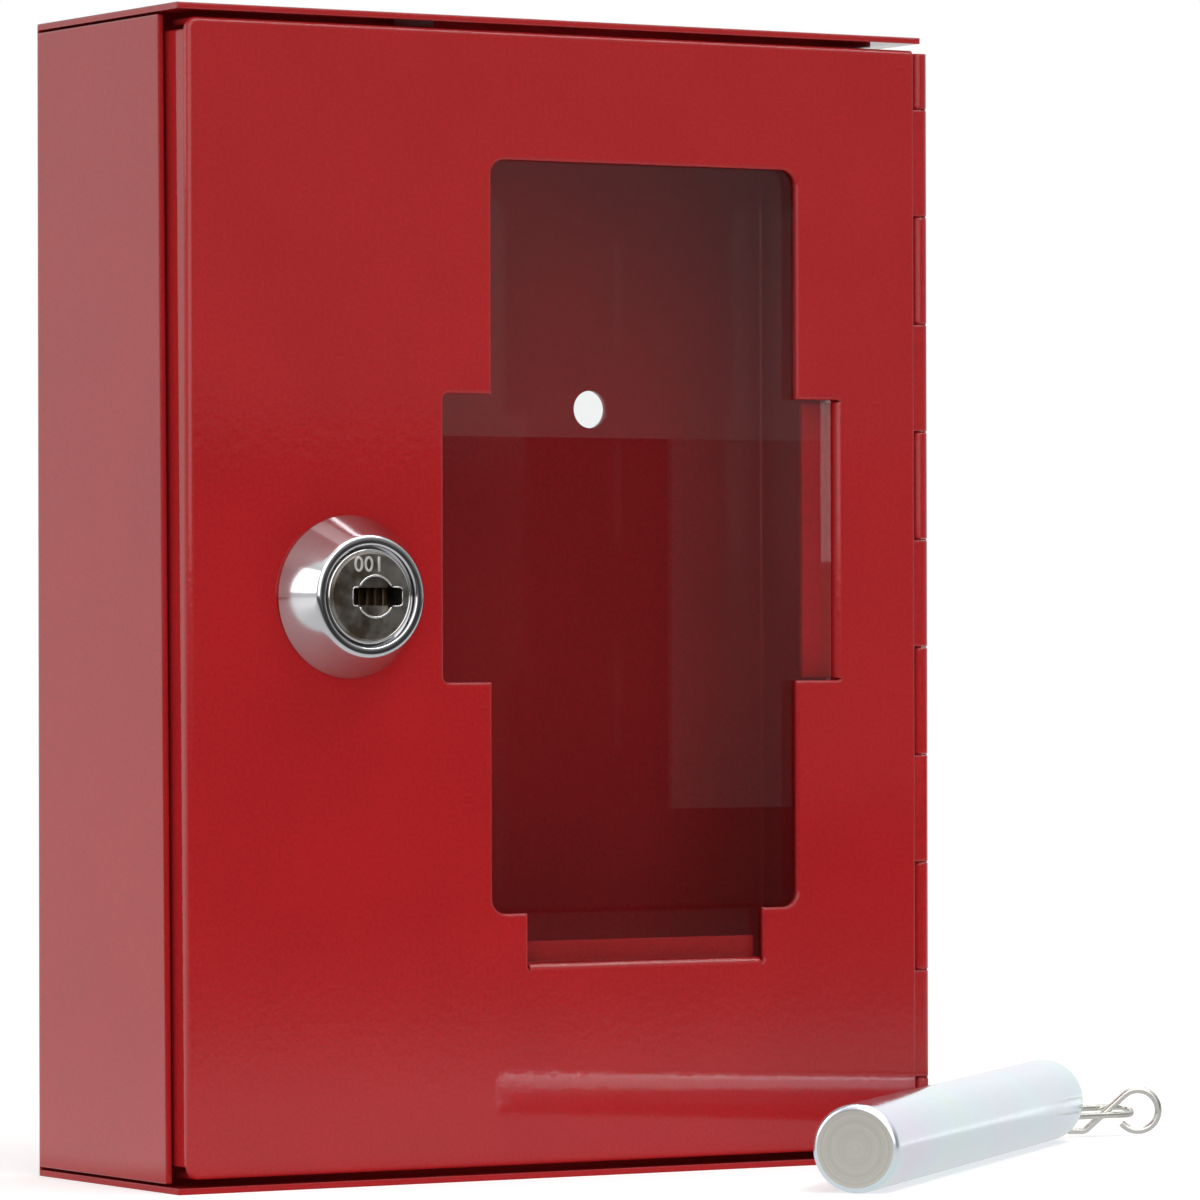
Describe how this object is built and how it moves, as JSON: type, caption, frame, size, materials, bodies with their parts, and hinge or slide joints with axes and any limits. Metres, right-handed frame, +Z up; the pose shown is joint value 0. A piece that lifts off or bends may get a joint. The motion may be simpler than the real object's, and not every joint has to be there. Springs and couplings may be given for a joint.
{
  "type": "break glass key box",
  "caption": "Wall-mounted sheet steel box for an emergency key, with a hinged glazed door, a cam lock and a loose steel striker.",
  "frame": {"origin": "centre of the underside of the casing's base plate", "axes": "+Z up, +Y from the door to the back, +X from the lock to the hinge"},
  "size_m": [0.1655, 0.0879, 0.15],
  "materials": {
    "red_paint": "semi-gloss powder coat",
    "chrome": "polished plating",
    "plug": "satin nickel",
    "wafers": "plain",
    "zinc": "bright zinc plating",
    "pane": "clear float glass",
    "striker_steel": "bright zinc plating",
    "wire": "plain drawn wire"
  },
  "bodies": {
    "casing": {"casing": "red_paint", "catch": "zinc", "key_hook": "zinc", "hinge_pin": "zinc"},
    "door": {"door": "red_paint", "lock_housing": "chrome", "lock_washer": "zinc", "lock_nut": "zinc", "pane_clip_upper": "zinc", "pane_clip_lower": "zinc"},
    "pane": {"glass_pane": "pane"},
    "lock": {"lock_plug": "plug", "plug_wafers": "wafers", "stop_washer": "zinc", "lock_cam": "zinc", "cam_washer": "zinc", "cam_screw": "zinc"},
    "striker": {"striker": "striker_steel", "striker_bail": "wire"},
    "link": {"striker_link": "wire"}
  },
  "joints": [
    {"name": "door_hinge", "type": "hinge", "parent": "casing", "child": "door", "pos_m": [0.05645, -0.01855, 0.075], "axis": [0, 0, 1], "range_deg": [0, 180]},
    {"name": "lock_turn", "type": "hinge", "parent": "door", "child": "lock", "pos_m": [-0.0315, -0.02, 0.0752], "axis": [0, 1, 0], "range_deg": [0, 90]},
    {"name": "pane_lift", "type": "slide", "parent": "door", "child": "pane", "axis": [0, 0, 1], "range_m": [0, 0.012]},
    {"name": "striker_aside", "type": "slide", "parent": "casing", "child": "striker", "axis": [0.8829, 0.4695, 0], "range_m": [0, 0.1355]},
    {"name": "link_swing", "type": "hinge", "parent": "striker", "child": "link", "pos_m": [0.1028, 0.00391, 0.0035], "axis": [-0.6363, 0.3839, -0.6691], "range_deg": [-25, 25]}
  ],
  "couplings": [
    {"joint": "striker_aside", "follows": "door_hinge", "m_per_rad": 0.043}
  ]
}
